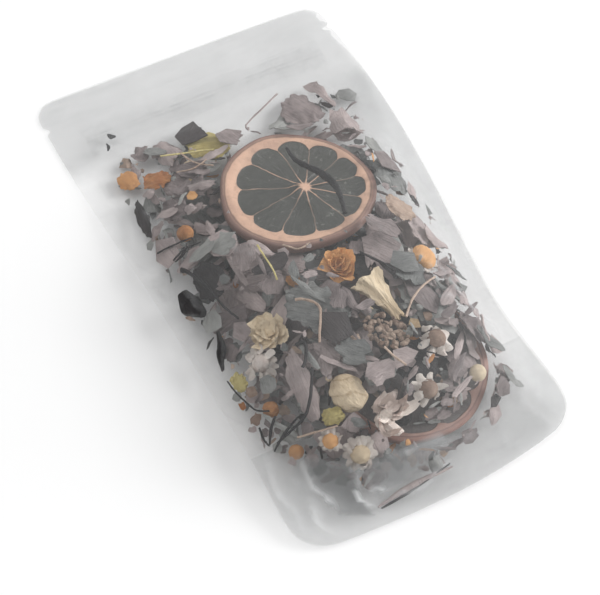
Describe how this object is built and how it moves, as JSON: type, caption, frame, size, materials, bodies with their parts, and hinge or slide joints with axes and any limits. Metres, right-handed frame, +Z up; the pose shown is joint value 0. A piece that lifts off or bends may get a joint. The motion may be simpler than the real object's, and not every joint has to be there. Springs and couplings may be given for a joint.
{
  "type": "stand-up zipper pouch",
  "caption": "Frosted stand-up pouch with a press-to-close zipper and gusset, lying on its back, filled with dried citrus, petals and flowers.",
  "frame": {"origin": "on the resting surface, below the middle of the pouch's outline", "axes": "+Y along the pouch from its gusseted bottom to its header, +Z up out of the front panel, X across the pouch"},
  "size_m": [0.1134, 0.184, 0.0261],
  "materials": {
    "frosted_film": "frosted translucent polythene film with a paper-like grain",
    "zipper_polythene": "smooth translucent polythene",
    "citrus_peel": "dried, dull, slightly waxy",
    "grey_petal": "dried petal, dull",
    "grey_green_leaf": "dried leaf, dull",
    "black_petal": "dried, nearly black, dull",
    "tan_flower": "dried flower, dull",
    "cream_flower": "dried flower, dull",
    "white_petal": "dried flower, dull",
    "amber_fruit": "dried fruit skin, slightly glossy",
    "yellow_petal": "dried petal, dull"
  },
  "bodies": {
    "root": {"back_panel": "frosted_film", "back_petal_1": "grey_green_leaf", "back_petal_2": "grey_petal", "back_petal_3": "grey_green_leaf", "back_petal_4": "grey_petal", "back_petal_5": "grey_petal", "back_petal_6": "grey_petal", "bottom_gusset": "frosted_film", "camomile_brown": "tan_flower", "camomile_hip": "white_petal", "camomile_left": "white_petal", "camomile_low": "white_petal", "camomile_low_left": "white_petal", "camomile_right": "white_petal", "citrus_slice": "citrus_peel", "citrus_slice_lower": "citrus_peel", "front_panel": "frosted_film", "honeysuckle_flower": "tan_flower", "jasmine_flower": "white_petal", "leaf_long_grey": "grey_petal", "leaf_sickle": "black_petal", "leaf_stalk": "black_petal", "orange_bead": "amber_fruit", "orange_berry": "amber_fruit", "orange_blossom": "amber_fruit", "orange_hip": "amber_fruit", "petal_black": "black_petal", "petal_bottom_left": "grey_petal", "petal_bottom_right": "grey_green_leaf", "petal_far_dark": "black_petal", "petal_heap": "grey_petal", "petal_left_grey": "grey_petal", "petal_left_lower": "grey_petal", "petal_left_middle": "grey_petal", "petal_left_plum": "grey_petal", "petal_left_rear": "grey_petal", "petal_left_upper": "grey_green_leaf", "petal_low_dark": "black_petal", "petal_low_plum": "grey_petal", "petal_low_right": "grey_green_leaf", "petal_middle": "grey_green_leaf", "petal_middle_dark": "black_petal", "petal_orange_far": "amber_fruit", "petal_orange_left": "amber_fruit", "petal_right_edge": "grey_green_leaf", "petal_right_middle": "grey_petal", "petal_right_plum": "grey_petal", "petal_right_upper": "grey_green_leaf", "petal_tan_right": "tan_flower", "petal_top_right": "grey_petal", "petal_upper_right": "grey_petal", "petal_yellow_left": "yellow_petal", "petal_yellow_low": "yellow_petal", "petal_yellow_top": "yellow_petal", "rose_bud_apricot": "cream_flower", "rose_bud_cream": "cream_flower", "tan_floret": "tan_flower", "yellow_berry": "amber_fruit", "zipper_groove_track": "zipper_polythene", "zipper_rib_track": "zipper_polythene"}
  },
  "joints": []
}
